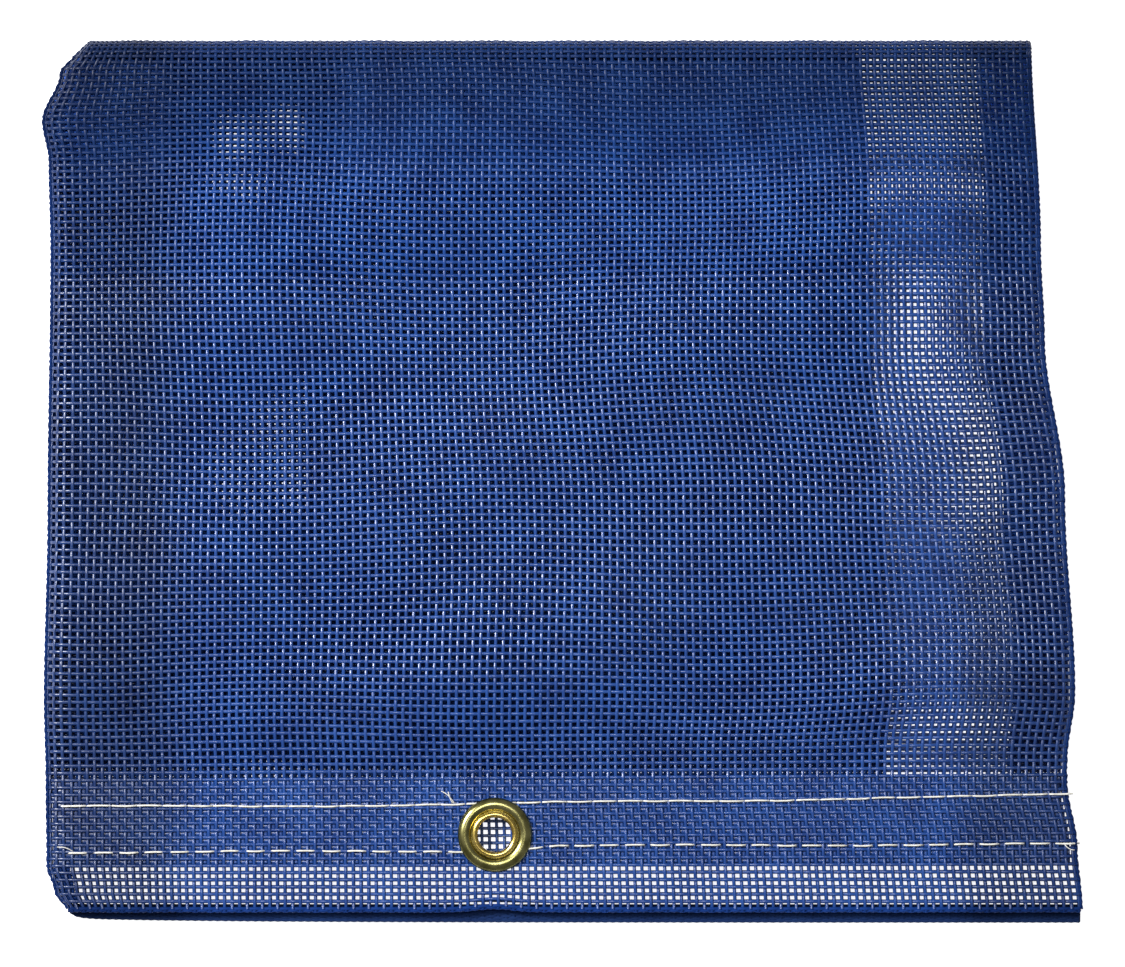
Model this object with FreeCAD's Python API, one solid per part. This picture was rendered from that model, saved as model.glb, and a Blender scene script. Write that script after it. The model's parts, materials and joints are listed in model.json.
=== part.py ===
import FreeCAD, Part

import math
import os

# A welding curtain of open-weave coated mesh, folded into a flat pack that lies on a table.
# +X runs along the hem to the right, +Y from the hem to the top fold, +Z up. All sizes are in mm.
# The origin is at the centre of the pack's underside.

# ---- driving dimensions -------------------------------------------------------------------

PLY = 0.8                    # thickness of one ply of mesh
LAYER = 1.2                  # from one ply to the next where the cloth is turned over at a side

HALF_WIDTH = 142.0           # half of the pack's greatest width
TOP = 122.0                  # the outside of the top fold
REAR_RIM = -122.0            # the outside of the fold along the back panel's lower end
FRONT_RIM = -119.5           # the outside of the fold along the hem
HEM_DEPTH = 37.2             # from the hem's rim to its inner edge
TURNED_IN = 24.2             # the allowance that is turned in inside the hem
TURN_UP = 39.0               # the short length at the end of the back panel that is folded up
FLAP_END = -79.0             # the flaps and side turn-unders stop here, just short of the hem

HEM_BOTTOM = 3.4             # underside of the hem's back ply
FRONT_AT_TOP = 8.6           # underside of the front panel where it meets the top fold

STITCH_LENGTH = 4.8
STITCH_PITCH = 7.0
THREAD = 0.5                 # thread diameter
UPPER_ROW = -88.2            # the row of stitching that holds the hem's inner edge
LOWER_ROW = -101.2           # the row that holds the turned-in allowance
ROW_HALF_LENGTH = 137.0
ROW_CLEARANCE = 11.5         # no stitch starts nearer than this to the grommet's axis

GROMMET_X = -18.7
GROMMET_Y = -97.8
BORE_R = 4.75                # a number 2 eyelet has a 3/8 in hole
BARREL_R = 5.25
HOLE_R = 5.3                 # hole punched in each ply of the hem
FLANGE_R = 10.2
FLANGE_THICKNESS = 1.0
ROLL_R = 6.5                 # outside of the barrel's rolled rim
WASHER_R = 10.25
WASHER_INNER_R = 5.35
GROMMET_TOP = 7.6

# ---- levels worked out from them ----------------------------------------------------------

HEM_EDGE = FRONT_RIM + HEM_DEPTH
FRONT_PLY_BOTTOM = HEM_BOTTOM + 2 * PLY
FRONT_PLY_TOP = FRONT_PLY_BOTTOM + PLY
FOLD_Z = (FRONT_AT_TOP + PLY) / 2
FOLD_OUTER_R = FOLD_Z
FOLD_Y = TOP - FOLD_OUTER_R
REAR_FOLD_R = (LAYER + PLY) / 2
SIDE_FOLD_R = (LAYER + PLY) / 2
FLAT_LEFT = -HALF_WIDTH + SIDE_FOLD_R   # where the left folds begin
HEM_FOLD_R = 1.5 * PLY
FLANGE_BOTTOM = HEM_BOTTOM - FLANGE_THICKNESS

# ---- outlines, as x and y in plan ---------------------------------------------------------

CORNER_START = 99.0          # the top left corner is cut off from here upwards
FOLD_LEFT = -134.0
FOLD_RIGHT = 128.4
RIGHT_EDGE_AT_HEM = 138.3
LEFT_CORNER = [(FOLD_LEFT, FOLD_Y), (-139.0, 111.0), (FLAT_LEFT, CORNER_START)]
RIGHT_EDGE = [(140.3, -60.0), (137.5, -5.0), (132.0, 39.0), (FOLD_RIGHT, FOLD_Y)]
BACK_INSET = 1.0             # the back panel's ends lie this far inside the front panel's
BACK_CORNER = (-137.0, -112.0)
FLAP_EDGE_TOP = 81.0         # free edge of the left flap at the top fold
FLAP_EDGE_BOTTOM = 89.0      # the same edge beside the hem
REAR_FLAP_SHORTER = 1.5      # the back flap stops this much short of the front one
TURN_EDGE = [(121.8, FLAP_END), (121.8, 85.0), (117.0, FOLD_Y)]


def front_slope(y):
    """Underside of the front panel, which rises from the hem to the top fold."""
    share = (y - HEM_EDGE) / (FOLD_Y - HEM_EDGE)
    return FRONT_PLY_BOTTOM + share * (FRONT_AT_TOP - FRONT_PLY_BOTTOM)


def flap_slope(y):
    return front_slope(y) - LAYER


def level(z):
    return lambda y: z


def slab(outline, underside, thickness=PLY):
    """A ply of cloth: a plane outline whose height follows underside(y), given its thickness."""
    corners = [FreeCAD.Vector(x, y, underside(y)) for x, y in outline]
    face = Part.Face(Part.makePolygon(corners + corners[:1]))
    return face.extrude(FreeCAD.Vector(0, 0, thickness))


def half_ring(outer_r, inner_r, length, middle, direction):
    """Half of a tube along X, with its outside towards +Y or -Y."""
    x, y, z = middle
    start = FreeCAD.Vector(x, y, z)
    along = FreeCAD.Vector(1, 0, 0)
    tube = Part.makeCylinder(outer_r, length, start, along)
    tube = tube.cut(Part.makeCylinder(inner_r, length, start, along))
    low_y = y if direction > 0 else y - outer_r
    half = Part.makeBox(length, outer_r, 2 * outer_r, FreeCAD.Vector(x, low_y, z - outer_r))
    return tube.common(half)


def side_fold(x, start_y, end_y, upper_underside):
    """The turned edge between a ply and the one below it, as half a tube that follows the ply."""
    outer_r = SIDE_FOLD_R
    inner_r = outer_r - PLY
    z = upper_underside(start_y) + PLY - outer_r
    rise = upper_underside(end_y) - upper_underside(start_y)

    def point(radius, angle):
        a = math.radians(angle)
        return FreeCAD.Vector(x + radius * math.cos(a), start_y, z + radius * math.sin(a))

    outer = Part.Arc(point(outer_r, 90), point(outer_r, 180), point(outer_r, 270)).toShape()
    inner = Part.Arc(point(inner_r, 270), point(inner_r, 180), point(inner_r, 90)).toShape()
    lower = Part.makeLine(point(outer_r, 270), point(inner_r, 270))
    upper = Part.makeLine(point(inner_r, 90), point(outer_r, 90))
    face = Part.Face(Part.Wire([outer, lower, inner, upper]))
    return face.extrude(FreeCAD.Vector(0, end_y - start_y, rise))


def grommet_hole(z, thickness):
    start = FreeCAD.Vector(GROMMET_X, GROMMET_Y, z)
    return Part.makeCylinder(HOLE_R, thickness, start)


def revolved(profile_edges):
    """A ring about the grommet's axis from edges in its own (radius, height) plane."""
    face = Part.Face(Part.Wire(profile_edges))
    ring = face.revolve(FreeCAD.Vector(0, 0, 0), FreeCAD.Vector(0, 0, 1), 360)
    ring.translate(FreeCAD.Vector(GROMMET_X, GROMMET_Y, 0))
    return ring


def at(r, z):
    return FreeCAD.Vector(r, 0, z)


def line(a, b):
    return Part.makeLine(at(*a), at(*b))


def arc(a, through, b):
    return Part.Arc(at(*a), at(*through), at(*b)).toShape()


# ---- cloth: the front panel and what hangs with it ----------------------------------------

def front_panel():
    outline = [(FLAT_LEFT, HEM_EDGE), (RIGHT_EDGE_AT_HEM, HEM_EDGE)]
    return slab(outline + RIGHT_EDGE + LEFT_CORNER, front_slope)


def hem_outline(inner_edge):
    start = FRONT_RIM + HEM_FOLD_R
    return [(-HALF_WIDTH, start), (HALF_WIDTH, start), (RIGHT_EDGE_AT_HEM, inner_edge),
            (-HALF_WIDTH, inner_edge)]


def hem_front_ply():
    ply = slab(hem_outline(HEM_EDGE), level(FRONT_PLY_BOTTOM))
    return ply.cut(grommet_hole(FRONT_PLY_BOTTOM, PLY))


def hem_back_ply():
    ply = slab(hem_outline(HEM_EDGE), level(HEM_BOTTOM))
    return ply.cut(grommet_hole(HEM_BOTTOM, PLY))


def hem_turned_in_ply():
    low_y = HEM_EDGE - TURNED_IN
    outline = [(-HALF_WIDTH, low_y), (HALF_WIDTH - 1.5, low_y), (RIGHT_EDGE_AT_HEM, HEM_EDGE),
               (-HALF_WIDTH, HEM_EDGE)]
    ply = slab(outline, level(HEM_BOTTOM + PLY))
    return ply.cut(grommet_hole(HEM_BOTTOM + PLY, PLY))


def hem_bottom_fold():
    middle = (-HALF_WIDTH, FRONT_RIM + HEM_FOLD_R, HEM_BOTTOM + HEM_FOLD_R)
    return half_ring(HEM_FOLD_R, HEM_FOLD_R - PLY, 2 * HALF_WIDTH, middle, -1)


def flap_outline(shorter):
    return [(FLAT_LEFT, FLAP_END), (FLAP_EDGE_BOTTOM - shorter, FLAP_END),
            (FLAP_EDGE_TOP - shorter, FOLD_Y), (FOLD_LEFT, FOLD_Y), (FLAT_LEFT, CORNER_START)]


def front_left_flap():
    return slab(flap_outline(0), flap_slope)


def front_left_fold():
    return side_fold(FLAT_LEFT, FLAP_END, CORNER_START, front_slope)


def turn_under_outline():
    edge = [(x - BACK_INSET, y) for x, y in RIGHT_EDGE]
    return [(RIGHT_EDGE_AT_HEM, FLAP_END)] + edge + TURN_EDGE[::-1]


def front_right_turn_under():
    return slab(turn_under_outline(), flap_slope)


# ---- cloth: the back panel and what lies on it --------------------------------------------

def back_panel():
    corner_x, corner_y = BACK_CORNER
    start = REAR_RIM + REAR_FOLD_R
    lower = [(FLAT_LEFT, corner_y), (corner_x, start), (HALF_WIDTH - BACK_INSET, start)]
    right = [(x - BACK_INSET, y) for x, y in RIGHT_EDGE]
    return slab(lower + right + LEFT_CORNER, level(0))


def turn_up():
    corner_x, corner_y = BACK_CORNER
    start = REAR_RIM + REAR_FOLD_R
    end = REAR_RIM + TURN_UP
    lower = [(FLAT_LEFT, corner_y), (corner_x, start), (HALF_WIDTH - BACK_INSET, start)]
    return slab(lower + [(RIGHT_EDGE_AT_HEM - BACK_INSET, end), (FLAT_LEFT, end)], level(LAYER))


def bottom_fold():
    corner_x = BACK_CORNER[0]
    length = HALF_WIDTH - BACK_INSET - corner_x
    middle = (corner_x, REAR_RIM + REAR_FOLD_R, REAR_FOLD_R)
    return half_ring(REAR_FOLD_R, REAR_FOLD_R - PLY, length, middle, -1)


def back_left_flap():
    return slab(flap_outline(REAR_FLAP_SHORTER), level(LAYER))


def back_left_fold():
    return side_fold(FLAT_LEFT, FLAP_END, CORNER_START, level(LAYER))


def back_right_turn_up():
    return slab(turn_under_outline(), level(LAYER))


# ---- cloth: the top folds, one inside the other -------------------------------------------

def top_fold(left, right, depth):
    """A half tube that joins the ply at this depth in the front to its match in the back."""
    outer_r = FOLD_OUTER_R - depth
    return half_ring(outer_r, outer_r - PLY, right - left, (left, FOLD_Y, FOLD_Z), 1)


# ---- thread -------------------------------------------------------------------------------

def stitches(row_y, z, start_x):
    """One row of stitching: what shows of each stitch, as a short bar lying on the cloth."""
    bars = []
    x = start_x
    while x + STITCH_LENGTH <= ROW_HALF_LENGTH:
        middle = x + STITCH_LENGTH / 2
        if math.hypot(middle - GROMMET_X, row_y - GROMMET_Y) > ROW_CLEARANCE + STITCH_LENGTH / 2:
            corner = FreeCAD.Vector(x, row_y - THREAD / 2, z)
            bars.append(Part.makeBox(STITCH_LENGTH, THREAD, THREAD, corner))
        x += STITCH_PITCH
    return Part.makeCompound(bars)


# ---- eyelet -------------------------------------------------------------------------------

def grommet():
    """Flange behind the hem, barrel through it, and the rim rolled over the washer in front."""
    roll_r = (ROLL_R - BORE_R) / 2
    roll_z = GROMMET_TOP - roll_r
    edges = [
        line((BORE_R, FLANGE_BOTTOM), (BORE_R, roll_z)),
        arc((BORE_R, roll_z), (BORE_R + roll_r, GROMMET_TOP), (ROLL_R, roll_z)),
        line((ROLL_R, roll_z), (ROLL_R, roll_z - 0.3)),
        line((ROLL_R, roll_z - 0.3), (BARREL_R, roll_z - 0.3)),
        line((BARREL_R, roll_z - 0.3), (BARREL_R, HEM_BOTTOM)),
        line((BARREL_R, HEM_BOTTOM), (FLANGE_R - 0.5, HEM_BOTTOM)),
        arc((FLANGE_R - 0.5, HEM_BOTTOM), (FLANGE_R, HEM_BOTTOM - 0.5),
            (FLANGE_R - 0.5, FLANGE_BOTTOM)),
        line((FLANGE_R - 0.5, FLANGE_BOTTOM), (BORE_R, FLANGE_BOTTOM)),
    ]
    return revolved(edges)


def grommet_washer():
    """The domed ring in front, which the barrel's rolled rim holds down."""
    seat = GROMMET_TOP - (ROLL_R - BORE_R) / 2 - 0.3
    edges = [
        line((WASHER_INNER_R, FRONT_PLY_TOP), (WASHER_R, FRONT_PLY_TOP)),
        line((WASHER_R, FRONT_PLY_TOP), (WASHER_R, FRONT_PLY_TOP + 0.25)),
        arc((WASHER_R, FRONT_PLY_TOP + 0.25), (8.9, FRONT_PLY_TOP + 1.3), (6.6, seat)),
        line((6.6, seat), (WASHER_INNER_R, seat)),
        line((WASHER_INNER_R, seat), (WASHER_INNER_R, FRONT_PLY_TOP)),
    ]
    return revolved(edges)


# ---- every node ---------------------------------------------------------------------------

UNDER_HEM = HEM_BOTTOM - THREAD

NODES = {
    "front_panel": front_panel(),
    "hem_front_ply": hem_front_ply(),
    "hem_bottom_fold": hem_bottom_fold(),
    "hem_back_ply": hem_back_ply(),
    "hem_turned_in_ply": hem_turned_in_ply(),
    "front_left_fold": front_left_fold(),
    "front_left_flap": front_left_flap(),
    "front_right_turn_under": front_right_turn_under(),
    "needle_thread_upper": stitches(UPPER_ROW, FRONT_PLY_TOP, -ROW_HALF_LENGTH),
    "needle_thread_lower": stitches(LOWER_ROW, FRONT_PLY_TOP, -ROW_HALF_LENGTH + 2),
    "bobbin_thread_upper": stitches(UPPER_ROW, UNDER_HEM, -ROW_HALF_LENGTH + 1),
    "bobbin_thread_lower": stitches(LOWER_ROW, UNDER_HEM, -ROW_HALF_LENGTH + 3),
    "grommet": grommet(),
    "grommet_washer": grommet_washer(),
    "top_fold_outer": top_fold(FOLD_LEFT, FOLD_RIGHT, 0),
    "top_fold_flap": top_fold(FOLD_LEFT, FLAP_EDGE_TOP - REAR_FLAP_SHORTER, LAYER),
    "top_fold_right_edge": top_fold(117.0, FOLD_RIGHT - 1, LAYER),
    "back_panel": back_panel(),
    "bottom_fold": bottom_fold(),
    "turn_up": turn_up(),
    "back_left_fold": back_left_fold(),
    "back_left_flap": back_left_flap(),
    "back_right_turn_up": back_right_turn_up(),
}

os.makedirs("parts", exist_ok=True)
for name, shape in NODES.items():
    if not shape.isValid():
        raise ValueError(name + " is not a valid solid")
    shape.exportStep("parts/" + name + ".step")
    print(name, len(shape.Solids), "solids,", round(shape.Volume, 1), "mm3")
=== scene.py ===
import json
import math

import bpy
import numpy as np
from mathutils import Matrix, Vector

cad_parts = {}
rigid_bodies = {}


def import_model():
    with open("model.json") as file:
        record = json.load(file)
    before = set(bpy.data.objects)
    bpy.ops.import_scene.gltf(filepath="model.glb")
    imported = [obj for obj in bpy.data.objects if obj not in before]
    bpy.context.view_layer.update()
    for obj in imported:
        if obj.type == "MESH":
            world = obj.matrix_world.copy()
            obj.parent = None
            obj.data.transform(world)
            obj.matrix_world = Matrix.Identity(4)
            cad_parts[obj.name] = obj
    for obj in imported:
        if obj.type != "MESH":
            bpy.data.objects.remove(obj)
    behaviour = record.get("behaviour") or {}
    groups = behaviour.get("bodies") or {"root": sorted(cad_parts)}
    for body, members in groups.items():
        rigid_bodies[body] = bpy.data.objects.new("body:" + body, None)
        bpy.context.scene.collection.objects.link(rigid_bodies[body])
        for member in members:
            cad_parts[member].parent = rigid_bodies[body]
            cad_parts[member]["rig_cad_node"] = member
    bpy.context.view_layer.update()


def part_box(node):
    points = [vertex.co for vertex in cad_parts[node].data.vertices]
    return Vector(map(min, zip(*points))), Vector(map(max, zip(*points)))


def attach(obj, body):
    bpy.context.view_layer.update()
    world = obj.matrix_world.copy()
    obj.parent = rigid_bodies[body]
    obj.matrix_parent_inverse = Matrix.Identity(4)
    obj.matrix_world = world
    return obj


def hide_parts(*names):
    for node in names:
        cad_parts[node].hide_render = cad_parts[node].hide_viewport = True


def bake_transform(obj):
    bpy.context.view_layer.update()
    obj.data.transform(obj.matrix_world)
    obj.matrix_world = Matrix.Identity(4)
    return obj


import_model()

MM = 0.001

# A blue mesh welding curtain, folded into a flat pack. Every ply is woven yarn by yarn on a curved
# surface. A surface takes yarn numbers: c counts the yarns across the pack from its left edge, and
# r counts those along the cloth from the hem's rim, over the top fold, and down the back.
# Lengths below are in mm, and every mesh is scaled to metres as it is made.


# ---- sizes from the frame -----------------------------------------------------------------

def box_mm(node):
    low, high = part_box(node)
    return [v / MM for v in low], [v / MM for v in high]


HEM_LOW, HEM_HIGH = box_mm("hem_front_ply")
FOLD_LOW, FOLD_HIGH = box_mm("top_fold_outer")
GROMMET_LOW, GROMMET_HIGH = box_mm("grommet")

LEFT = HEM_LOW[0]
RIGHT = HEM_HIGH[0]
HEM_EDGE = HEM_HIGH[1]
RIM_START = HEM_LOW[1]
FOLD_START = box_mm("front_panel")[1][1]
FLAP_END = box_mm("front_left_flap")[0][1]
TURN_UP_RISE = box_mm("turn_up")[0][2] - box_mm("back_panel")[0][2]
FOLD_MIDDLE_Z = (FOLD_LOW[2] + FOLD_HIGH[2]) / 2
PLY = HEM_HIGH[2] - HEM_LOW[2]
HEM_FRONT_Z = (HEM_LOW[2] + HEM_HIGH[2]) / 2
HEM_BACK_Z = HEM_FRONT_Z - 2 * PLY
GROMMET_X = (GROMMET_LOW[0] + GROMMET_HIGH[0]) / 2
GROMMET_Y = (GROMMET_LOW[1] + GROMMET_HIGH[1]) / 2

# ---- the weave ----------------------------------------------------------------------------

PITCH = 2.0                  # between weft yarns, along the cloth
YARN_WIDTH = 0.93
NARROW_YARN = 0.78           # the plies under the open strip, where light comes through
BACK_YARN = 1.05             # the rest of the back, to match the light that the photo shows
PRESSED_YARN = 1.35          # the turned-in ply, pressed flat between the other two
YARN_THICKNESS = 0.42
CRIMP = 0.17                 # how far each yarn rises and falls as it goes over and under
COLUMNS = 135
COLUMN_PITCH = (RIGHT - LEFT) / COLUMNS
SIDE_ROLL = 7.0              # the left edge curves down over this width
LAYER = 1.3                  # from one ply to the next
LOOSE_HEIGHT = 7.7           # the middle of the front's ripples
EASING = 30.0                # over this length it gets loose above the hem, and tight at the fold
LEFT_FLOOR = 3.1             # the height that the front's left edge curves down to
LEFT_FLOOR_RISE = 0.6        # and how much higher that is near the top
PAST = 0.01                  # a span goes this far past its outermost yarns, so they are inside it
HEM_ROWS = (HEM_EDGE - RIM_START) / PITCH + PAST
FRONT_ROWS = 124.0
CROWDED = 105.0              # the rows crowd together over this length below the top fold
FOLD_ROWS = 10.0
FOLD_END_ROW = FRONT_ROWS + FOLD_ROWS
BACK_ROWS = FOLD_END_ROW + FRONT_ROWS - 0.5
RIM_ROWS = 4.0               # rows crowded into the turn along the hem's rim
BACK_RIM_ROWS = 18.0         # and into the flatter turn at the back ply's lower end
TURN_UP_START_ROW = BACK_ROWS + BACK_RIM_ROWS
BACK_RIM_REACH = 4.7         # how far that turn reaches
BACK_SLOPE = 1.2             # it reaches this much less towards the left
BACK_CORNER = 3.0            # and this much less again at its rounded corner
SIDE_COLUMNS = 4.0           # columns crowded into the turn at each side
TURNED_IN_START_ROW = 5.9    # the hem's turned-in ply reaches down to here
BACK_STRIP_ROWS = 19         # the part of the back that is seen through the open strip
BACK_JOIN_ROWS = 53.5        # from the fold to the join in the back, which is between two yarns
TURN_UP_ROWS = 18            # the cloth's short end behind the hem

# The band near the left where a little light comes through every ply, as shares of the width
BAND_START = 0.13
BAND_END = 0.26
BACK_BAND_END = 0.253
BAND_EDGE = 0.04


def smooth(t):
    t = np.clip(t, 0.0, 1.0)
    return t * t * (3 - 2 * t)


def ripples(x, y, waves):
    """A sum of straight waves: amplitude, wavelength, direction in degrees, phase in turns."""
    total = np.zeros(np.broadcast(x, y).shape)
    for amplitude, length, direction, phase in waves:
        a = math.radians(direction)
        along = x * math.cos(a) + y * math.sin(a)
        total += amplitude * np.sin(2 * math.pi * (along / length + phase))
    return total


def follow(points, y):
    """A smooth line through a few (y, x) points."""
    ys = np.array([p[0] for p in points])
    xs = np.array([p[1] for p in points])
    k = np.clip(np.searchsorted(ys, y) - 1, 0, len(ys) - 2)
    return xs[k] + (xs[k + 1] - xs[k]) * smooth((y - ys[k]) / (ys[k + 1] - ys[k]))


SIDE_REACH = 14.0            # the left edge's bends die out over about this width

# How far each side of the front stands to the right of a straight line, as (y, x) points
LEFT_EDGE = [(-119, 5.6), (-113.5, 2.4), (-106, 0.4), (-88, 0.2), (-60, -0.4), (-8, 0.6), (64, 1.4),
             (89, 0.9), (100, -0.9), (113, 4.0), (118, 7.8), (123, 11.4)]
RIGHT_EDGE = [(-119, 1.0), (-102, -0.8), (-84, -3.6), (-78, -3.4), (-60, -1.4), (-5, -4.2),
              (39, -9.8), (64, -10.8), (123, -13.6)]

# Waves, as ripples() takes them: in the front's height, and in its yarns' y and x
HEIGHT_WAVES = [(0.62, 112, -38, 0.10), (0.36, 67, -62, 0.55), (0.22, 47, 24, 0.30)]
SWAY_WAVES = [(0.75, 124, -52, 0.20), (0.32, 76, 35, 0.62)]
DRIFT_WAVES = [(0.55, 118, 78, 0.40), (0.22, 64, -70, 0.05)]


def front_y(r):
    """Rows lie closer together as the front bends over towards the top fold."""
    y = RIM_START + PITCH * r
    last = RIM_START + PITCH * FRONT_ROWS
    start = FOLD_START - CROWDED
    t = np.clip((y - start) / (last - start), 0, None)
    return y - (last - FOLD_START) * t ** 2


def front_height(x, y):
    """The front ply: flat in the hem, loose and rippled above it, and never higher than the fold,
    so that it lies on the table when the pack is opened."""
    loose = smooth((y - HEM_EDGE) / EASING)
    near_fold = smooth((FOLD_START - y) / EASING)
    top_z = FOLD_HIGH[2] - PLY / 2
    z = HEM_FRONT_Z + loose * (LOOSE_HEIGHT - HEM_FRONT_Z)
    z = z + (1 - near_fold) * (top_z - LOOSE_HEIGHT)
    z = z + loose * near_fold * ripples(x, y, HEIGHT_WAVES)
    dip = smooth(-(y - RIM_START - 9) / 9)
    return z - 0.35 * dip


def roll_off(across, z, floor_z, width):
    """A side edge that curves down to floor_z over the last width mm."""
    t = np.clip(across / width, 0, 1)
    return floor_z + (z - floor_z) * np.sqrt(np.clip(1 - (1 - t) ** 2, 0, 1))


def plan(c, y):
    """Where the yarns of the front lie in plan, at y up the pack."""
    across = c * COLUMN_PITCH
    share = np.maximum(across / (RIGHT - LEFT), 0)
    free = smooth((y - HEM_EDGE) / 18) * smooth((FOLD_START + 4 - y) / 14)
    inner = smooth(across / 25) * smooth((RIGHT - LEFT - across) / 25)
    base_x = LEFT + across
    x = base_x + follow(RIGHT_EDGE, y) * share ** 2
    x = x + follow(LEFT_EDGE, y) * np.exp(-across / SIDE_REACH)
    x = x + free * inner * ripples(base_x, y, DRIFT_WAVES)
    crowd = np.clip(1 - across / SIDE_ROLL, 0, 1)
    x = x - 1.8 * crowd * (1 - crowd)
    sway = ripples(base_x, y, SWAY_WAVES) * free * (0.35 + 0.65 * inner)
    tilt = 1.6 * (share - 0.35) * smooth((y - RIM_START - 4) / 20) * smooth((FOLD_START - y) / 60)
    return x, y + sway + tilt


def front(c, r):
    """The front ply, from the hem's rim to where the top fold begins."""
    y = front_y(r)
    across = c * COLUMN_PITCH
    base_x = LEFT + across
    plan_x, plan_y = plan(c, y)
    z = front_height(base_x, y)
    left_floor = LEFT_FLOOR + LEFT_FLOOR_RISE * smooth((y - 60) / 60)
    z = roll_off(across + 0.4, z, left_floor, SIDE_ROLL)
    z = roll_off(RIGHT - LEFT - across + 0.6, z, z - 1.2, 4.0)
    pucker = np.exp(-((base_x - GROMMET_X) / 7) ** 2) * smooth((RIM_START + 8 - y) / 8)
    return np.stack([plan_x, plan_y + 0.9 * pucker, z], axis=-1)


def below_front(drop):
    """A ply that follows the front at this distance under it."""
    def surface(c, r):
        p = front(c, r)
        p[..., 2] -= drop
        return p
    return surface


def flap(c, r):
    """The flap under the front. Near the top fold its yarns lie under the front's holes, except
    in the band near the left."""
    y = front_y(r)
    share = c / COLUMNS
    right_of_band = smooth((share - BAND_END) / BAND_EDGE)
    left_of_band = smooth((BAND_START - share) / BAND_EDGE) * smooth(share / BAND_EDGE)
    near_top = smooth((y - 74) / 16) * smooth((FOLD_START - y) / 4)
    shift = 0.5 * (right_of_band + left_of_band) * near_top
    return below_front(LAYER)(c + shift, r + shift)


def hem_back(c, r):
    """The hem's back ply: its yarns lie nearly under those of the front ply."""
    p = front(c, r)
    y = front_y(r)
    p[..., 0] += ripples(p[..., 0], y, [(0.10, 31, 10, 0.1), (0.08, 17, 60, 0.4)])
    p[..., 1] += ripples(p[..., 0], y, [(0.10, 23, -30, 0.7)])
    p[..., 2] -= 2 * PLY - 0.55 * smooth((RIM_START + 10 - y) / 9)
    return p


def hem_turned_in(c, r):
    """The raw edge inside the hem, half a yarn out of step with the plies on both sides of it."""
    p = front(c + 0.5, r + 0.5)
    p[..., 2] -= 0.8 * PLY
    return p


def hem_rim(c, r):
    """Half a turn along the rim, from the front ply at r = 0 to the back ply at r = -RIM_ROWS."""
    t = np.clip(-r / RIM_ROWS, 0, 1)
    top = front(c, np.zeros_like(r))
    low = hem_back(c, np.zeros_like(r))
    radius = (top[..., 2] - low[..., 2]) / 2
    p = top + (low - top) * t[..., None]
    p[..., 1] -= (radius + 0.25) * np.sin(math.pi * t)
    p[..., 2] = low[..., 2] + radius * (1 + np.cos(math.pi * t))
    return p


def top_fold(depth):
    """A ply's half turn at the top, from the front at FRONT_ROWS to the back at FOLD_END_ROW."""
    def surface(c, r):
        t = (r - FRONT_ROWS) / FOLD_ROWS
        start = front(c, np.full_like(r, FRONT_ROWS))
        end = back(c, np.full_like(r, FOLD_END_ROW))
        radius = FOLD_MIDDLE_Z - PLY / 2 - depth
        blend = smooth(t)
        angle = math.pi * t
        p = start + (end - start) * blend[..., None]
        waver = ripples(start[..., 0], 0 * t, [(0.06, 31, 0, 0), (0.05, 17, 0, 0.3)])
        p[..., 1] = FOLD_START + (radius + waver) * np.sin(angle)
        p[..., 0] += 4.0 * np.exp(-c * COLUMN_PITCH / SIDE_REACH) * np.sin(angle)
        high = start[..., 2] - depth
        low = end[..., 2] + depth
        p[..., 2] = low + (high - low) * (1 + np.cos(angle)) / 2
        return p
    return surface


BACK_WAVES = [(0.45, 83, 30, 0.2), (0.3, 51, -64, 0.5)]
FLAP_WAVES = [(0.08, 31, -62, 0.1), (0.06, 17, 20, 0.6)]


def back(c, r):
    """The back ply, lying on the table, from the top fold down to its lower end. Near the hem and
    near the fold its yarns are in step with the front's, so that light shows through both."""
    y = front_y(FRONT_ROWS + FOLD_END_ROW - r)
    across = c * COLUMN_PITCH
    share = np.maximum(across / (RIGHT - LEFT), 0)
    base_x = LEFT + across
    free = smooth((y + 70) / 30) * smooth((FOLD_START - y) / 20)
    x = base_x + (follow(RIGHT_EDGE, y) - 0.8) * share ** 3
    x = x + (follow(LEFT_EDGE, y) + 0.4) * np.exp(-across / SIDE_REACH)
    x = x + free * ripples(base_x, y, BACK_WAVES)
    z = YARN_THICKNESS / 2 + CRIMP + 0.02 + 0.12 * free * (1 + ripples(base_x, y, [(1, 70, 20, 0)]))
    over_x, over_y = plan(c, y)
    in_step = smooth(-(y + 81) / 8) + smooth((y - 70) / 25)
    shifted = smooth((y + 62) / 25)
    y = y - PITCH / 2 * shifted + free * ripples(base_x, y, [(0.5, 90, 70, 0.3)])
    x = x + (over_x - x) * in_step
    y = y + (over_y - y) * in_step
    return np.stack([x, y, z], axis=-1)


def above_back(c, r):
    """A ply that lies on the back, about half a yarn out of step with it, so that it closes its
    holes, except in the band near the left."""
    share = c / COLUMNS
    y = front_y(FRONT_ROWS + FOLD_END_ROW - r)
    in_band = smooth((share - BAND_START) / BAND_EDGE) * smooth((BACK_BAND_END - share) / 0.01)
    open_here = in_band * (0.4 + 0.6 * smooth((y - 55) / 25)) * smooth((112 - y) / 12)
    shift = 0.5 - open_here * (0.3 + ripples(share * (RIGHT - LEFT), y, FLAP_WAVES))
    p = back(c + shift, r + shift)
    p[..., 2] += LAYER
    return p


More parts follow.
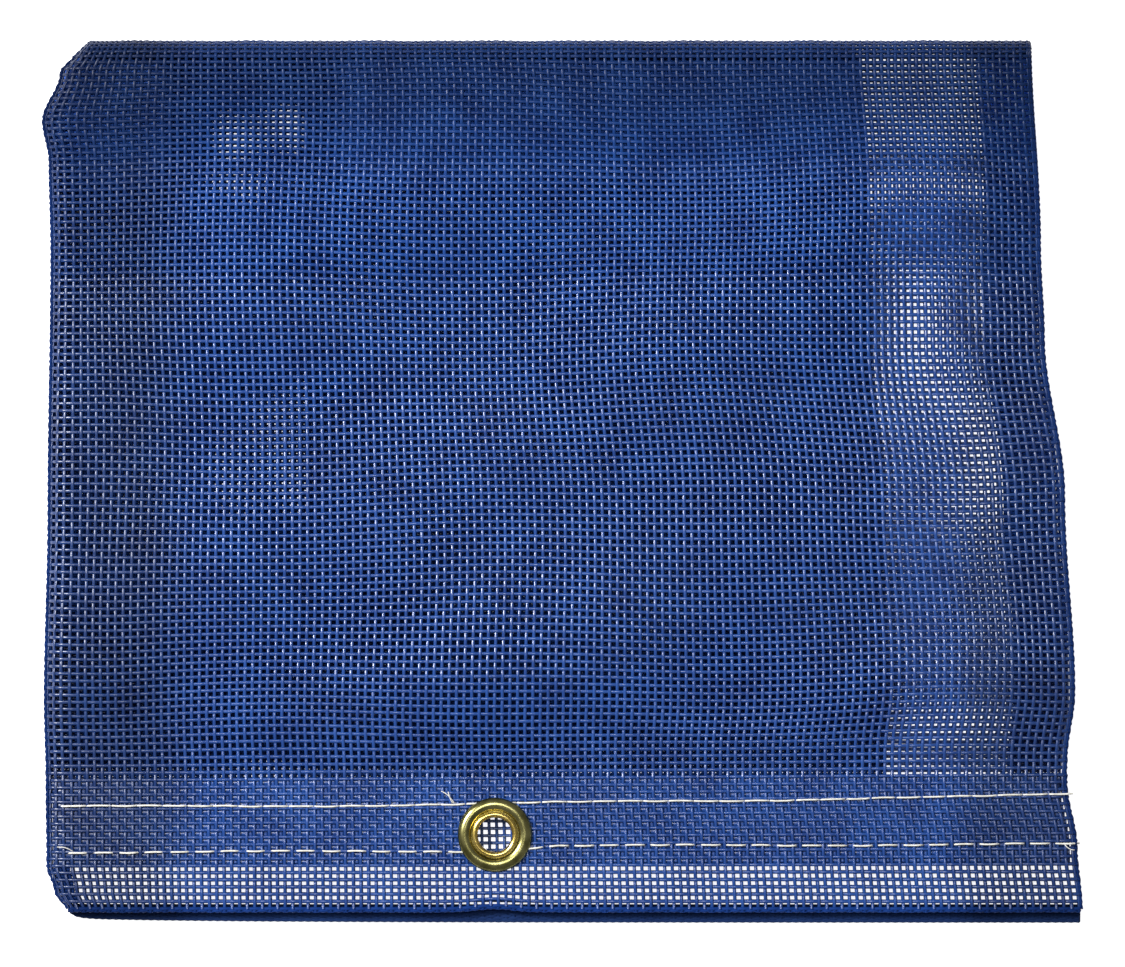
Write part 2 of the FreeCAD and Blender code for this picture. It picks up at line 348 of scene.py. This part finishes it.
def bottom_fold(c, r):
    """Half a turn at the back ply's lower end, where it folds up behind the hem."""
    t = np.clip((r - BACK_ROWS) / BACK_RIM_ROWS, 0, 1)
    p = back(c, np.full_like(r, BACK_ROWS))
    radius = TURN_UP_RISE / 2
    across = c * COLUMN_PITCH
    reach = BACK_RIM_REACH - BACK_SLOPE * np.exp(-across / 45) - BACK_CORNER * np.exp(-across / 2.5)
    p[..., 1] -= reach * np.sin(math.pi * t)
    p[..., 2] += radius * (1 - np.cos(math.pi * t))
    return p


def turn_up(c, r):
    """The short end of the cloth, lying on the back ply behind the hem."""
    p = back(c, BACK_ROWS - (r - TURN_UP_START_ROW))
    p[..., 0] += ripples(p[..., 0], p[..., 1], [(0.13, 27, 15, 0.3)])
    p[..., 1] += ripples(p[..., 0], p[..., 1], [(0.10, 19, -40, 0.2)])
    p[..., 2] += TURN_UP_RISE
    return p


def side_fold(upper, lower, c_edge, outward):
    """Half a turn at a side, from the upper ply's edge yarn to the lower one's."""
    def surface(c, r):
        t = np.clip(c / SIDE_COLUMNS, 0, 1)
        a = upper(np.full_like(c, c_edge), r)
        b = lower(np.full_like(c, c_edge), r)
        middle = (a + b) / 2
        reach = np.linalg.norm(a - middle, axis=-1) + 0.2
        p = middle + (a - middle) * np.cos(math.pi * t)[..., None]
        p[..., 0] += outward * reach * np.sin(math.pi * t)
        return p
    return surface


# ---- yarns --------------------------------------------------------------------------------

PUNCHED_R = 6.2              # the hem's plies are cut away round the eyelet's barrel
STUB = 0.1                   # each yarn's closed end stands this far past its last point
STUB_SIZE = 0.98             # and has this share of the yarn's width and thickness
SHORTEST_STEP = 1e-3         # stations closer than this, in yarns, are the same one


def unit(v):
    return v / np.maximum(np.linalg.norm(v, axis=-1, keepdims=True), 1e-9)


def mesh_object(name, parts, material):
    """One mesh from several parts; each part is its points and its four-sided faces."""
    points = np.concatenate([part[0] for part in parts])
    offsets = np.cumsum([0] + [len(part[0]) for part in parts[:-1]])
    quads = np.concatenate([part[1] + offset for part, offset in zip(parts, offsets)])
    mesh = bpy.data.meshes.new(name)
    mesh.vertices.add(len(points))
    mesh.vertices.foreach_set("co", (points * MM).astype(np.float32).ravel())
    mesh.loops.add(4 * len(quads))
    mesh.loops.foreach_set("vertex_index", quads.astype(np.int32).ravel())
    mesh.polygons.add(len(quads))
    mesh.polygons.foreach_set("loop_start", np.arange(0, 4 * len(quads), 4, dtype=np.int32))
    mesh.polygons.foreach_set("use_smooth", np.ones(len(quads), dtype=bool))
    mesh.update(calc_edges=True)
    mesh.validate()
    mesh.materials.append(material)
    obj = bpy.data.objects.new(name, mesh)
    bpy.context.scene.collection.objects.link(obj)
    return obj


def tubes(centres, tangents, normals, width, thickness, sides):
    """Flat-oval tubes along rows of centre points. Every array is (yarn, station, 3), and the
    result is one part of a mesh_object. A short, slightly narrower stub is added at each end, so
    that a yarn that goes on in the next section is shaded as if it weren't cut there."""
    stations = centres.shape[1]
    doubled = [0] + list(range(stations)) + [stations - 1]
    first_step = unit(centres[:, 1] - centres[:, 0])
    last_step = unit(centres[:, -1] - centres[:, -2])
    centres, tangents, normals = centres[:, doubled], tangents[:, doubled], normals[:, doubled]
    centres[:, 0] -= STUB * first_step
    centres[:, -1] += STUB * last_step
    size = np.ones(stations + 2)
    size[[0, -1]] = STUB_SIZE
    across = unit(np.cross(tangents, normals))
    up = unit(np.cross(across, tangents))
    angle = 2 * math.pi * np.arange(sides) / sides
    ring = (centres[:, :, None, :]
            + across[:, :, None, :] * (width / 2 * np.outer(size, np.cos(angle)))[None, ..., None]
            + up[:, :, None, :] * (thickness / 2 * np.outer(size, np.sin(angle)))[None, ..., None])
    index = np.arange(ring[..., 0].size).reshape(ring.shape[:3])
    after = np.roll(index, -1, axis=2)
    walls = np.stack([index[:, :-1], index[:, 1:], after[:, 1:], after[:, :-1]], axis=-1)
    caps = []
    for k in range(0, sides - 2, 2):
        corners = [0, k + 1, k + 2, min(k + 3, sides - 1)]
        caps += [index[:, 0, corners], index[:, -1, corners[::-1]]]
    return ring.reshape(-1, 3), np.concatenate([walls.reshape(-1, 4)] + caps)


def frame_at(surface, c, r):
    """Points of a surface, its directions along c and along r, and its unit normals."""
    step = 0.02
    p = surface(c, r)
    along_c = surface(c + step, r) - surface(c - step, r)
    along_r = surface(c, r + step) - surface(c, r - step)
    return p, along_c, along_r, unit(np.cross(along_c, along_r))


def runs_around_eyelet(centres):
    """The parts of one yarn on each side of the eyelet, as ranges of its stations."""
    away = np.hypot(centres[:, 0] - GROMMET_X, centres[:, 1] - GROMMET_Y)
    inside = np.nonzero(away < PUNCHED_R)[0]
    if not len(inside):
        return [slice(0, len(centres))]
    runs = [slice(0, inside[0]), slice(inside[-1] + 1, len(centres))]
    return [run for run in runs if run.stop - run.start > 1]


def woven(name, surface, columns, rows, material, sides, steps, width=YARN_WIDTH, punched=False):
    """One ply of plain weave. It has the yarns whose numbers lie inside columns = (from, to) and
    rows = (from, to), and each yarn is as long as the other span. Each yarn has this many sides,
    and this many stations from one crossing to the next. A punched ply has a hole for the eyelet."""
    c0, c1 = columns
    r0, r1 = rows
    parts = []
    warp = np.arange(math.floor(c0) + 1, math.ceil(c1), dtype=float)
    weft = np.arange(math.floor(r0) + 1, math.ceil(r1), dtype=float)
    spans = [(warp, r0, r1, True), (weft, c0, c1, False)]
    for yarns, start, end, is_warp in spans:
        inner = np.arange(math.floor(start * steps) + 1, math.ceil(end * steps)) / steps
        stations = np.concatenate([[start], inner, [end]])
        stations = stations[np.concatenate([[True], np.diff(stations) > SHORTEST_STEP])]
        yarn, station = np.meshgrid(yarns, stations, indexing="ij")
        c, r = (yarn, station) if is_warp else (station, yarn)
        p, along_c, along_r, normal = frame_at(surface, c, r)
        sign = 1.0 if is_warp else -1.0
        height = sign * CRIMP * np.cos(math.pi * (c + r))
        slope = -sign * CRIMP * math.pi * np.sin(math.pi * (c + r))
        centres = p + normal * height[..., None]
        along = along_r if is_warp else along_c
        pitch = PITCH if is_warp else COLUMN_PITCH
        tangents = unit(unit(along) + normal * (slope / pitch)[..., None])
        if not punched:
            parts.append(tubes(centres, tangents, normal, width, YARN_THICKNESS, sides))
            continue
        for k in range(len(yarns)):
            for run in runs_around_eyelet(centres[k]):
                parts.append(tubes(centres[k:k + 1, run], tangents[k:k + 1, run],
                                   normal[k:k + 1, run], width, YARN_THICKNESS, sides))
    return mesh_object(name, parts, material)


# ---- materials ----------------------------------------------------------------------------

def new_material(name):
    material = bpy.data.materials.new(name)
    material.use_nodes = True
    shader = material.node_tree.nodes["Principled BSDF"]
    return material, material.node_tree, shader


def noise(tree, scale, detail=2.0):
    place = tree.nodes.new("ShaderNodeTexCoord")
    texture = tree.nodes.new("ShaderNodeTexNoise")
    texture.inputs["Scale"].default_value = scale
    texture.inputs["Detail"].default_value = detail
    tree.links.new(place.outputs["Object"], texture.inputs["Vector"])
    return texture.outputs["Fac"]


def ramp(tree, value, stops):
    node = tree.nodes.new("ShaderNodeValToRGB")
    elements = node.color_ramp.elements
    for k, (place, colour) in enumerate(stops):
        element = elements[k] if k < 2 else elements.new(place)
        element.position = place
        element.color = (*colour, 1.0)
    tree.links.new(value, node.inputs["Fac"])
    return node.outputs["Color"]


def bump(tree, shader, height, strength, distance):
    node = tree.nodes.new("ShaderNodeBump")
    node.inputs["Strength"].default_value = strength
    node.inputs["Distance"].default_value = distance
    tree.links.new(height, node.inputs["Height"])
    tree.links.new(node.outputs["Normal"], shader.inputs["Normal"])


def fade(tree, axis, start, end, least):
    """1 before start and least after end, along one axis; start and end in mm."""
    place = tree.nodes.new("ShaderNodeTexCoord")
    split = tree.nodes.new("ShaderNodeSeparateXYZ")
    node = tree.nodes.new("ShaderNodeMapRange")
    node.interpolation_type = "SMOOTHSTEP"
    node.inputs["From Min"].default_value = start * MM
    node.inputs["From Max"].default_value = end * MM
    node.inputs["To Min"].default_value = 1.0
    node.inputs["To Max"].default_value = least
    tree.links.new(place.outputs["Object"], split.inputs["Vector"])
    tree.links.new(split.outputs[axis], node.inputs["Value"])
    return node.outputs["Result"]


def combined(tree, operation, first, second):
    """The sum or product of two values."""
    node = tree.nodes.new("ShaderNodeMath")
    node.operation = operation
    tree.links.new(first, node.inputs[0])
    tree.links.new(second, node.inputs[1])
    return node.outputs["Value"]


def stretched(tree, value, factor, offset):
    """A value times a factor, plus an offset."""
    node = tree.nodes.new("ShaderNodeMath")
    node.operation = "MULTIPLY_ADD"
    tree.links.new(value, node.inputs[0])
    node.inputs[1].default_value = factor
    node.inputs[2].default_value = offset
    return node.outputs["Value"]


def scaled(tree, colour, factor):
    node = tree.nodes.new("ShaderNodeVectorMath")
    node.operation = "SCALE"
    tree.links.new(colour, node.inputs[0])
    tree.links.new(factor, node.inputs["Scale"])
    return node.outputs["Vector"]


# Where the painted shade on the vinyl's colour comes in, from and to, in mm: up the pack, and
# towards each side
TOP_FADE = (72, 116)
RIGHT_FADE = (104, 118)
LEFT_FADE = (-96, -118)
# Painted shade: how light the colour is at the top, the right side and the left side, against the
# middle; shares above 1 are painted light
OUTER_PAINTED_SHADE = (0.42, 0.64, 0.52)
INNER_PAINTED_LIGHT = (1.9, 1.7, 1.2)


def vinyl_yarn(name, dark, light, roughness, gloss, shares=OUTER_PAINTED_SHADE):
    """Royal blue vinyl on a polyester core: satin, uneven along the yarn, with dull patches.
    The colour is darker near the top fold and the sides as painted shade (lighter there, as painted
    light, where the shares are above 1), and the roughness rises where it is darker."""
    material, tree, shader = new_material(name)
    colour = ramp(tree, noise(tree, 95.0, 3.0), [(0.3, dark), (0.7, light)])
    top, right, left = shares
    # painted shade: the colour is scaled down towards the top fold and the sides (scaled up as
    # painted light where the shares are above 1)
    painted_shade_and_light = combined(tree, "MULTIPLY", fade(tree, "Y", *TOP_FADE, top),
                    fade(tree, "X", *RIGHT_FADE, right))
    painted_shade_and_light = combined(tree, "MULTIPLY", painted_shade_and_light, fade(tree, "X", *LEFT_FADE, left))
    tree.links.new(scaled(tree, colour, painted_shade_and_light), shader.inputs["Base Color"])
    dulled = stretched(tree, painted_shade_and_light, -0.15, roughness + 0.15)
    patchy = stretched(tree, noise(tree, 40.0, 3.0), 0.2, -0.1)
    tree.links.new(combined(tree, "ADD", dulled, patchy), shader.inputs["Roughness"])
    shader.inputs["Specular IOR Level"].default_value = gloss
    bump(tree, shader, noise(tree, 1900.0, 1.0), 0.3, 0.0001)
    return material


def sewing_thread():
    material, tree, shader = new_material("thread")
    colour = ramp(tree, noise(tree, 600.0), [(0.3, (0.62, 0.60, 0.52)), (0.7, (0.86, 0.85, 0.78))])
    tree.links.new(colour, shader.inputs["Base Color"])
    shader.inputs["Roughness"].default_value = 0.6
    shader.inputs["Sheen Weight"].default_value = 0.3
    bump(tree, shader, noise(tree, 4000.0, 1.0), 0.5, 0.0001)
    return material


def brass(name, dark, light, roughness):
    material, tree, shader = new_material(name)
    colour = ramp(tree, noise(tree, 260.0, 4.0), [(0.35, dark), (0.65, light)])
    tree.links.new(colour, shader.inputs["Base Color"])
    shader.inputs["Metallic"].default_value = 1.0
    tarnish = stretched(tree, noise(tree, 180.0, 3.0), 0.2, roughness - 0.1)
    tree.links.new(tarnish, shader.inputs["Roughness"])
    bump(tree, shader, noise(tree, 900.0, 3.0), 0.05, 0.0002)
    return material


YARN_DARK = (0.009, 0.038, 0.180)
YARN_LIGHT = (0.016, 0.066, 0.270)
VINYL = vinyl_yarn("vinyl", YARN_DARK, YARN_LIGHT, 0.25, 0.62)
# The front's sections, from the hem up; the gloss falls off towards the top fold
FIELD_VINYL = [VINYL, VINYL, VINYL]
for vinyl_name, vinyl_gloss in [("vinyl_upper", 0.5), ("vinyl_high", 0.3), ("vinyl_top", 0.18)]:
    FIELD_VINYL.append(vinyl_yarn(vinyl_name, YARN_DARK, YARN_LIGHT, 0.25, vinyl_gloss))
# The narrow folds and the hem's rim: a darker, duller copy of the vinyl; its darker colour is
# painted shade on the turned edges
EDGE_VINYL_PAINTED_SHADE = vinyl_yarn("vinyl_edge_painted_shade", (0.005, 0.027, 0.145), (0.009, 0.043, 0.21), 0.55, 0.05)
# The inner plies have a darker, duller copy of the vinyl; its darker colour is painted shade in the
# front's holes. Near the top and the sides it is lighter again, as painted light matched to what
# shows in the front's holes there
INNER_VINYL_PAINTED_SHADE = vinyl_yarn("vinyl_inner_painted_shade", (0.008, 0.029, 0.138), (0.013, 0.045, 0.196), 0.55, 0.05,
                         INNER_PAINTED_LIGHT)
# The back ply's lower turn: a still darker copy of the vinyl, painted shadow under the hem's rim
RIM_VINYL_PAINTED_SHADOW = vinyl_yarn("vinyl_rim_painted_shadow", (0.008, 0.022, 0.085), (0.012, 0.034, 0.12), 0.55, 0.05)
THREAD = sewing_thread()
WASHER_BRASS = brass("washer_brass", (0.18, 0.165, 0.055), (0.38, 0.35, 0.14), 0.24)
RIM_BRASS = brass("rim_brass", (0.60, 0.42, 0.08), (0.90, 0.68, 0.22), 0.22)


# ---- the cloth ----------------------------------------------------------------------------

def bind(piece, body, node):
    """Body and replaced node of one woven piece; a blended piece has no body of its own."""
    if node:
        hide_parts(node)
    if body:
        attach(piece, body)


ALL = (-PAST, COLUMNS + PAST)
EDGE = (0.0, SIDE_COLUMNS)
FIELD_SECTIONS = len(FIELD_VINYL)
FLAP_COLUMNS = (-PAST, 110.3)                   # up to the flap's free edge
TURN_COLUMNS = (127.2, COLUMNS + PAST)          # from the turned right edge's free edge
FLAP_START_ROW = (FLAP_END - RIM_START) / PITCH
BACK_FLAP_END_ROW = FOLD_END_ROW + FRONT_ROWS - HEM_ROWS + 1.2
FRONT_FLAP_ROWS = (FLAP_START_ROW, FRONT_ROWS)
BACK_FLAP_ROWS = (FOLD_END_ROW - 0.6, BACK_FLAP_END_ROW)    # no gap is left beside the fold
BACK_EDGE_ROWS = (FOLD_END_ROW + 3, BACK_FLAP_END_ROW)
FOLD_ROW_SPAN = (FRONT_ROWS - PAST, FOLD_END_ROW + PAST)

WIDTHS = {"hem_inside_mesh": PRESSED_YARN, "hem_back_mesh": NARROW_YARN,
          "turn_up_mesh": NARROW_YARN, "back_mesh_3": NARROW_YARN,
          "back_mesh_1": BACK_YARN, "back_mesh_2": BACK_YARN}
PUNCHED = ("hem_front_mesh", "hem_back_mesh", "hem_inside_mesh")


def make_narrow_folds():
    """The turned edges and the two rims; they go with the plies that they join."""
    front_left = side_fold(front, below_front(LAYER), 0.0, -1)
    back_left = side_fold(above_back, back, 0.0, -1)
    front_right = side_fold(front, below_front(LAYER), float(COLUMNS), 1)
    hem_left = side_fold(front, hem_back, 0.0, -1)
    hem_right = side_fold(front, hem_back, float(COLUMNS), 1)
    folds = [
        ("left_fold_mesh", front_left, EDGE, (FLAP_START_ROW, FRONT_ROWS),
         "front_left_fold", "front_flap"),
        ("back_left_fold_mesh", back_left, EDGE, BACK_EDGE_ROWS, "back_left_fold", "pack"),
        ("hem_rim_mesh", hem_rim, ALL, (-RIM_ROWS - PAST, PAST), "hem_bottom_fold", "front_flap"),
        ("back_rim_mesh", bottom_fold, ALL, (BACK_ROWS - PAST, TURN_UP_START_ROW + PAST),
         "bottom_fold", "pack"),
        ("right_fold_mesh", front_right, EDGE, (HEM_ROWS, FRONT_ROWS), None, "front_flap"),
        ("hem_left_end_mesh", hem_left, EDGE, (0.0, FLAP_START_ROW), None, "front_flap"),
        ("hem_right_end_mesh", hem_right, EDGE, (0.0, HEM_ROWS), None, "front_flap"),
        ("hem_corner_mesh", hem_turned_in, (0.0, 2.2), (0.3, TURNED_IN_START_ROW),
         None, "front_flap"),
    ]
    pieces = {}
    for name, surface, columns, rows, node, body in folds:
        is_back_rim = name == "back_rim_mesh"
        # painted shadow on the back ply's lower turn, painted shade on the other folds
        material = RIM_VINYL_PAINTED_SHADOW if is_back_rim else EDGE_VINYL_PAINTED_SHADE
        steps = 2 if is_back_rim else 4
        piece = woven(name, surface, columns, rows, material, 6, steps)
        bind(piece, body, node)
        pieces[name] = piece
    return pieces


def make_top_folds():
    """The plies that bend over the top; each one is blended between the two halves."""
    outer = top_fold(0.0)
    inner = top_fold(LAYER)
    folds = [("top_fold_left_mesh", side_fold(outer, inner, 0.0, -1), EDGE, None),
             ("top_fold_right_mesh", side_fold(outer, inner, float(COLUMNS), 1), EDGE, None),
             ("top_fold_mesh", outer, ALL, "top_fold_outer"),
             ("top_fold_flap_mesh", inner, FLAP_COLUMNS, "top_fold_flap"),
             ("top_fold_edge_mesh", inner, TURN_COLUMNS, "top_fold_right_edge")]
    for name, surface, columns, node in folds:
        piece = woven(name, surface, columns, FOLD_ROW_SPAN, FIELD_VINYL[-1], 6, 2)
        bind(piece, None, node)
        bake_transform(piece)
        if node is None:
            continue


def make_plies(edges):
    """Every ply; the front and the back are in sections, to stay within the limit on triangles."""
    section = (FRONT_ROWS - HEM_ROWS) / FIELD_SECTIONS
    joins = [math.floor(HEM_ROWS + k * section) + 0.5 for k in range(1, FIELD_SECTIONS)]
    joins = [HEM_ROWS] + joins + [FRONT_ROWS]
    back_joins = [FOLD_END_ROW, FOLD_END_ROW + BACK_JOIN_ROWS, BACK_ROWS - BACK_STRIP_ROWS,
                  BACK_ROWS]
    under_front = below_front(LAYER)
    plies = [(f"front_mesh_{k + 1}", front, ALL, (joins[k], joins[k + 1]), "front_panel",
              "front_flap", FIELD_VINYL[k], 8, 2) for k in range(FIELD_SECTIONS)]
    plies += [(f"back_mesh_{k + 1}", back, ALL, (back_joins[k], back_joins[k + 1]), "back_panel",
               "pack", VINYL, 4, 1) for k in range(len(back_joins) - 1)]
    plies += [
        ("hem_front_mesh", front, ALL, (0.0, HEM_ROWS), "hem_front_ply", "front_flap", VINYL, 6, 2),
        ("hem_back_mesh", hem_back, ALL, (0.0, HEM_ROWS), "hem_back_ply", "front_flap",
         VINYL, 6, 1),
        ("hem_inside_mesh", hem_turned_in, (0.0, COLUMNS - 1.0),
         (TURNED_IN_START_ROW, HEM_ROWS - 0.6), "hem_turned_in_ply", "front_flap", VINYL, 6, 1),
        # the inner plies take the copy of the vinyl with painted shade and painted light
        ("flap_mesh", flap, FLAP_COLUMNS, FRONT_FLAP_ROWS, "front_left_flap", "front_flap",
         INNER_VINYL_PAINTED_SHADE, 4, 1),
        ("turn_under_mesh", under_front, TURN_COLUMNS, FRONT_FLAP_ROWS, "front_right_turn_under",
         "front_flap", INNER_VINYL_PAINTED_SHADE, 4, 1),
        ("turn_up_mesh", turn_up, ALL, (TURN_UP_START_ROW, TURN_UP_START_ROW + TURN_UP_ROWS),
         "turn_up", "pack", VINYL, 4, 1),
        ("back_flap_mesh", above_back, FLAP_COLUMNS, BACK_FLAP_ROWS, "back_left_flap", "pack",
         INNER_VINYL_PAINTED_SHADE, 4, 1),
        ("back_turn_up_mesh", above_back, TURN_COLUMNS, BACK_FLAP_ROWS, "back_right_turn_up",
         "pack", INNER_VINYL_PAINTED_SHADE, 4, 1),
    ]
    for name, surface, columns, rows, node, body, material, sides, steps in plies:
        width = WIDTHS.get(name, YARN_WIDTH)
        piece = woven(name, surface, columns, rows, material, sides, steps, width,
                      name in PUNCHED)
        bind(piece, body, node)


make_plies(make_narrow_folds())
make_top_folds()


# ---- stitching ----------------------------------------------------------------------------

STITCH_PITCH = 7.0
THREAD_R = 0.25
UNDER_WASHER = 9.2           # a stitch that meets the eyelet ends under the washer's edge
STITCH_RISE = 0.62           # from where it leaves the cloth to where it lies on it
STITCH_SUNK = 0.40           # how deep its ends are in the cloth
STITCH_END = 0.16            # the share of its length in which it rises
STITCH_BOW = 0.12            # the most that a stitch bows to one side
SHORTEST_STITCH = 4          # a stitch with fewer points clear of the washer is left out
UPPER_ROW_Y = -89.0
LOWER_ROW_Y = -102.2


def loose_end(start, end, bow, z):
    """A short free end of thread that lies on the cloth in a curve."""
    t = np.linspace(0, 1, 13)
    xs = start[0] + (end[0] - start[0]) * t
    ys = start[1] + (end[1] - start[1]) * t + bow * np.sin(math.pi * t)
    zs = z + 0.15 + 0.5 * np.sin(math.pi * t * 0.8)
    centres = np.stack([xs, ys, zs], axis=-1)[None]
    tangents = unit(np.gradient(centres, axis=1))
    normals = np.broadcast_to(np.array([0.0, 0.0, 1.0]), centres.shape)
    return tubes(centres, tangents, normals, THREAD_R, THREAD_R, 6)


def stitch_row(name, node, y_of_x, visible, z, side, loose=()):
    """A row of lock stitches: each one comes up out of the cloth, lies on it, and dives again.
    visible is how much of the pitch a stitch takes up."""
    low, high = box_mm(node)
    parts = []
    for k, start in enumerate(np.arange(low[0] - 1.5, high[0] + 1, STITCH_PITCH)):
        t = np.linspace(0, 1, 15)
        xs = start + STITCH_PITCH * visible * t
        ys = y_of_x(xs) + STITCH_BOW * np.sin(k * 2.4) * np.sin(math.pi * t)
        clear = np.hypot(xs - GROMMET_X, ys - GROMMET_Y) > UNDER_WASHER
        if clear.sum() < SHORTEST_STITCH:
            continue
        xs, ys, t = xs[clear], ys[clear], t[clear]
        risen = np.minimum(smooth(t / STITCH_END), smooth((1 - t) / STITCH_END))
        zs = z + side * (STITCH_RISE * risen - STITCH_SUNK)
        centres = np.stack([xs, ys, zs], axis=-1)[None]
        tangents = unit(np.gradient(centres, axis=1))
        normals = np.broadcast_to(np.array([0.0, 0.0, 1.0]), centres.shape)
        parts.append(tubes(centres, tangents, normals, 2 * THREAD_R, 2 * THREAD_R, 8))
    parts += [loose_end(start, end, bow, z) for start, end, bow in loose]
    piece = mesh_object(name, parts, THREAD)
    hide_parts(node)
    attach(piece, "front_flap")


def upper_row(x):
    slant = 1.3 * x / RIGHT + smooth((x - 40) / 60)
    return UPPER_ROW_Y + slant + 0.35 * np.sin(x / 23 + 1.0)


def lower_row(x):
    slant = 0.5 * x / RIGHT + 1.3 * smooth((x + 20) / 20)
    return LOWER_ROW_Y + slant + 0.2 * np.sin(x / 17)


TOP_Z = HEM_FRONT_Z + YARN_THICKNESS / 2 + CRIMP
UNDER_Z = HEM_BACK_Z - YARN_THICKNESS / 2 - CRIMP
stitch_row("stitches_upper", "needle_thread_upper", upper_row, 0.93, TOP_Z, 1,
           [((-30.0, -88.9), (-33.4, -85.8), 0.5), ((-30.4, -88.9), (-31.6, -86.0), -0.4)])
stitch_row("stitches_lower", "needle_thread_lower", lower_row, 0.72, TOP_Z, 1,
           [((-135.5, -102.3), (-139.6, -101.2), 0.4), ((138.6, -100.2), (141.4, -102.0), -0.5)])
stitch_row("stitches_upper_back", "bobbin_thread_upper", upper_row, 0.8, UNDER_Z, -1)
stitch_row("stitches_lower_back", "bobbin_thread_lower", lower_row, 0.8, UNDER_Z, -1)


# ---- eyelet -------------------------------------------------------------------------------

def finish_node(node, material):
    for obj in bpy.data.objects:
        if obj.get("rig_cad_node") == node:
            for slot in obj.material_slots:
                slot.material = material


finish_node("grommet", RIM_BRASS)
finish_node("grommet_washer", WASHER_BRASS)


# ---- floor, light and camera --------------------------------------------------------------

def make_floor():
    bpy.ops.mesh.primitive_plane_add(size=6.0, location=(0, 0, -0.0003))
    floor = bpy.context.object
    floor.name = "floor"
    material, _, shader = new_material("floor")
    shader.inputs["Base Color"].default_value = (0.9, 0.9, 0.9, 1)
    shader.inputs["Roughness"].default_value = 0.9
    shader.inputs["Emission Color"].default_value = (1, 1, 1, 1)
    shader.inputs["Emission Strength"].default_value = 0.88
    floor.data.materials.append(material)


def area_light(name, place, size, power):
    """A square light, aimed at the middle of the pack."""
    light = bpy.data.lights.new(name, "AREA")
    light.size = size
    light.energy = power
    obj = bpy.data.objects.new(name, light)
    obj.location = place
    bpy.context.scene.collection.objects.link(obj)
    direction = obj.location.normalized()
    obj.rotation_euler = direction.to_track_quat("Z", "Y").to_euler()


def make_camera():
    """A long lens, straight above, that takes in as much as the photo does."""
    width_in_view = 0.311
    distance = 2.6
    middle_y = -0.0007
    front_z = 0.006
    data = bpy.data.cameras.new("camera")
    data.lens = data.sensor_width * distance / width_in_view
    camera = bpy.data.objects.new("camera", data)
    camera.location = (0, middle_y, distance + front_z)
    bpy.context.scene.collection.objects.link(camera)
    bpy.context.scene.camera = camera


def make_world():
    world = bpy.data.worlds.new("studio")
    world.use_nodes = True
    background = world.node_tree.nodes["Background"]
    background.inputs["Color"].default_value = (0.95, 0.97, 1.0, 1)
    background.inputs["Strength"].default_value = 0.22
    bpy.context.scene.world = world


bpy.context.scene.view_settings.view_transform = "Standard"
make_floor()
area_light("key", (-0.88, 0.42, 1.0), 0.3, 27.0)
area_light("overhead", (-0.15, 0.30, 1.6), 0.5, 8.0)
make_world()
make_camera()
